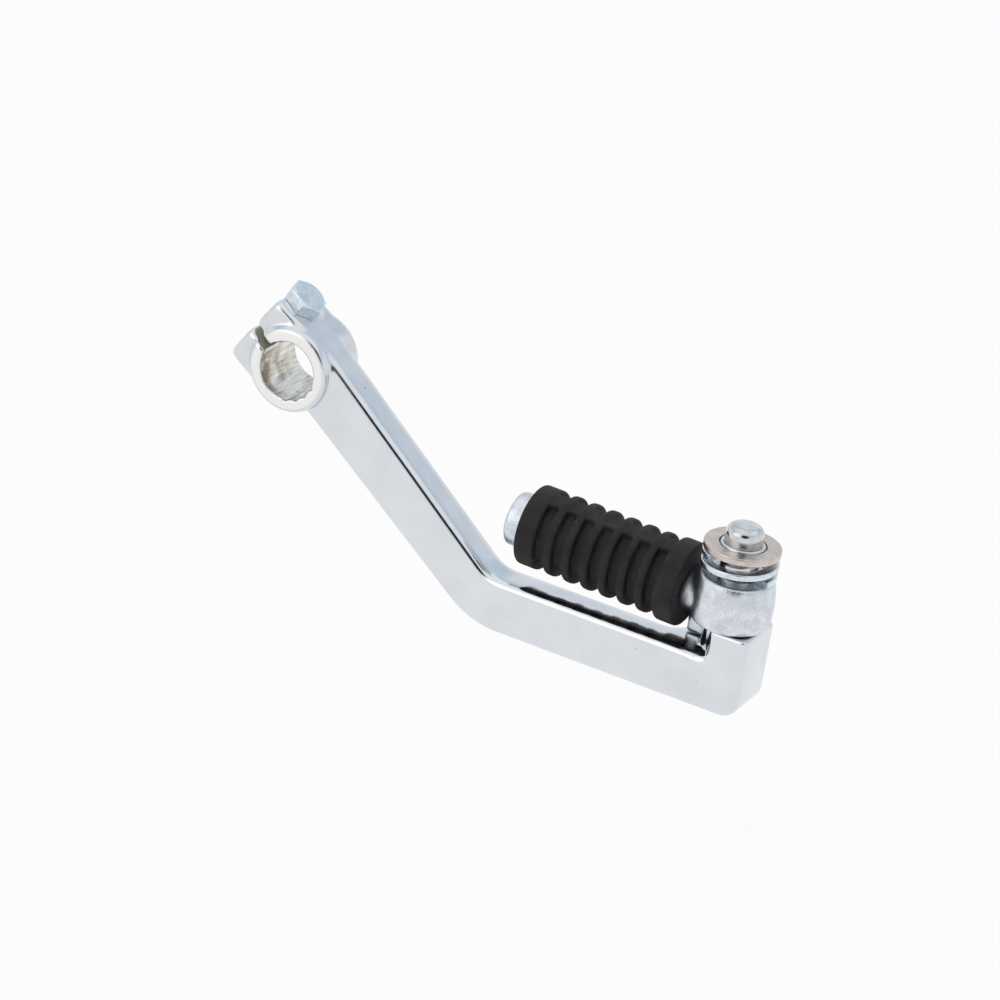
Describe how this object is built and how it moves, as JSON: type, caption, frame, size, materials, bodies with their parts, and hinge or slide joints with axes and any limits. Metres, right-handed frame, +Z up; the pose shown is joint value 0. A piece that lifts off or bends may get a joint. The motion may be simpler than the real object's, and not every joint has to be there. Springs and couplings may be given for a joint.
{
  "type": "kick start lever",
  "caption": "Chromed kick start lever with a split clamp hub, a bent arm and a folding pedal with a black ribbed rubber, shown folded.",
  "frame": {"origin": "middle of the shaft bore, on its axis", "axes": "+X towards the pedal end, +Y along the bore towards the engine, +Z up along the pedal's pin"},
  "size_m": [0.1659, 0.0234, 0.0766],
  "materials": {
    "chrome": "polished",
    "plated_casting": "satin",
    "zinc_steel": "satin",
    "bare_steel": "satin",
    "polished_steel": "polished",
    "rubber": "matte"
  },
  "bodies": {
    "lever": {"lever_arm": "chrome", "pinch_bolt": "zinc_steel", "pivot_pin": "polished_steel", "retaining_ring": "polished_steel", "flat_washer": "bare_steel", "pedal_spring": "zinc_steel"},
    "pedal": {"folding_pedal": "plated_casting", "pedal_rubber": "rubber"}
  },
  "joints": [
    {"name": "pedal_fold", "type": "hinge", "parent": "lever", "child": "pedal", "pos_m": [0.1355, 0.0021, -0.0256], "axis": [0, 0, 1], "range_deg": [0, 90]}
  ]
}
